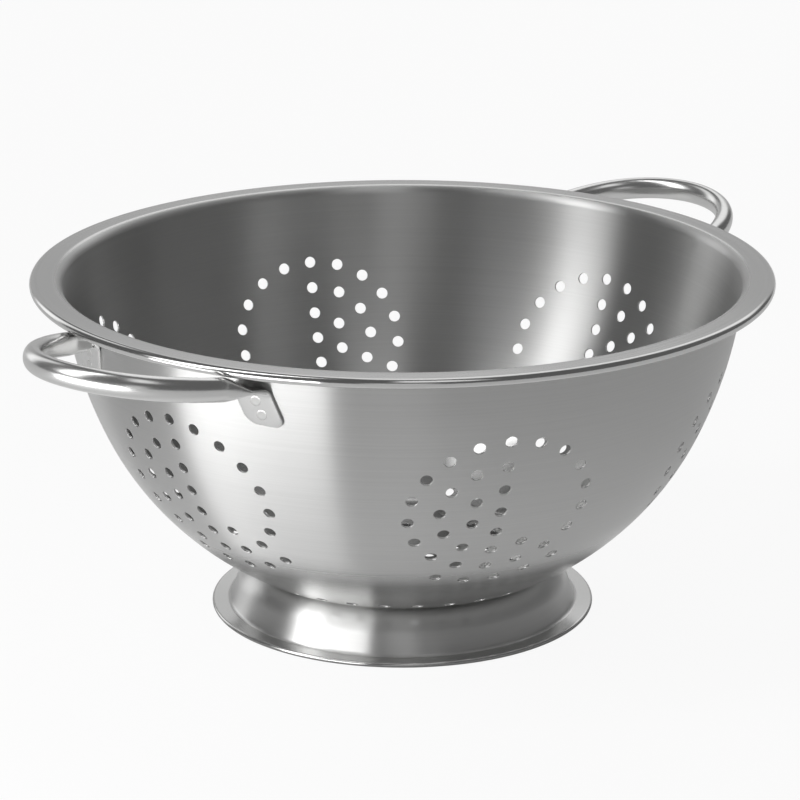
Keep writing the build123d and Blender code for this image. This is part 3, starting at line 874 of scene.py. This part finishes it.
def addFloor():
    floor = meshPiece("floor", [(-6, -6, 0), (6, -6, 0), (6, 6, 0), (-6, 6, 0)], [(0, 1, 2, 3)])
    material, bench = newMaterial("paleFloor")
    path = bench.make("ShaderNodeLightPath")
    plain = bench.make("ShaderNodeBsdfDiffuse", {}, {"Color": (0.9, 0.9, 0.9, 1)})["BSDF"]
    white = bench.make("ShaderNodeEmission", {}, {"Color": (1, 1, 1, 1), "Strength": 1.0})["Emission"]
    x, y, _ = bench.parts(bench.make("ShaderNodeTexCoord")["Object"])
    radius = bench.maths("SQRT", x * x + y * y)
    # Painted shadow at the foot and painted pool of light round it, in the glow that the steel sees in the floor
    paintedRing = smoothStep(bench, radius, *studioSizes["floorRoundAt"]) * studioSizes["floorRound"]
    far = smoothStep(bench, radius, *studioSizes["floorFarAt"]) * studioSizes["floorFar"]
    level = paintedRing + studioSizes["floorNear"] - far
    # painted glow: an emission that the steel sees in place of the floor's own light and shade
    paintedGlow = bench.make("ShaderNodeEmission", {}, {"Color": (1, 1, 1, 1), "Strength": level})["Emission"]
    seen = bench.make("ShaderNodeMixShader", {}, {0: 1 - studioSizes["floorShadow"], 1: plain, 2: white})["Shader"]
    direct = bench.maths("MAXIMUM", path["Is Camera Ray"], path["Is Transmission Ray"])
    # glossy rays see this painted glow mixed with the lit floor
    even = path["Is Glossy Ray"] * studioSizes["floorEven"]
    mirrored = bench.make("ShaderNodeMixShader", {}, {0: even, 1: plain, 2: paintedGlow})["Shader"]
    shader = bench.make("ShaderNodeMixShader", {}, {0: direct, 1: mirrored, 2: seen})["Shader"]
    bench.make("ShaderNodeOutputMaterial", {}, {"Surface": shader})
    floor.data.materials.append(material)


def setWorld():
    # Softboxes round the object, each a patch of the sky with soft edges, over a dim studio
    s = studioSizes
    world = bpy.data.worlds.new("studio")
    bpy.context.scene.world = world
    world.use_nodes = True
    world.node_tree.nodes.clear()
    bench = Bench(world.node_tree)
    x, y, z = bench.parts(bench.make("ShaderNodeTexCoord")["Generated"])
    flat = bench.maths("MAXIMUM", bench.maths("SQRT", x * x + y * y), 1e-4)
    total = s["base"]
    for azimuth, halfWidth, low, high, strength in s["softboxes"]:
        aim = polar(1, azimuth)
        facing = (x * aim.x + y * aim.y) / flat
        edges = (low - s["edge"], low + s["edge"], high + s["edge"], high - s["edge"])
        sine = [math.sin(math.radians(edge)) for edge in edges]
        across = smoothStep(
            bench, facing, math.cos(math.radians(halfWidth + s["edge"])), math.cos(math.radians(halfWidth - s["edge"]))
        )
        above = smoothStep(bench, z, sine[0], sine[1])
        below = 1 - smoothStep(bench, z, sine[3], sine[2])
        total = across * above * below * strength + total
    path = bench.make("ShaderNodeLightPath")
    strength = total * (1 - path["Is Camera Ray"]) + path["Is Camera Ray"]
    background = bench.make("ShaderNodeBackground", {}, {"Color": (1, 1, 1, 1), "Strength": strength})
    bench.make("ShaderNodeOutputWorld", {}, {"Surface": background["Background"]})


def addLowLight():
    s = lowLight
    lamp = bpy.data.lights.new("lowSoftbox", "AREA")
    lamp.shape = "RECTANGLE"
    lamp.size, lamp.size_y = s["width"], s["depth"]
    lamp.energy = s["radiance"] * math.pi * s["width"] * s["depth"]
    softbox = bpy.data.objects.new("lowSoftbox", lamp)
    bpy.context.scene.collection.objects.link(softbox)
    spot = polar(s["distance"], s["azimuth"])
    softbox.location = (spot.x, spot.y, s["height"] + s["depth"] / 2)
    softbox.rotation_mode = "QUATERNION"
    softbox.rotation_quaternion = Vector((-spot.x, -spot.y, 0)).to_track_quat("-Z", "Y")
    softbox.visible_camera = False


addCamera()
addFloor()
setWorld()
addLowLight()
bpy.context.scene.view_settings.view_transform = "Standard"
print("stage, light and camera")
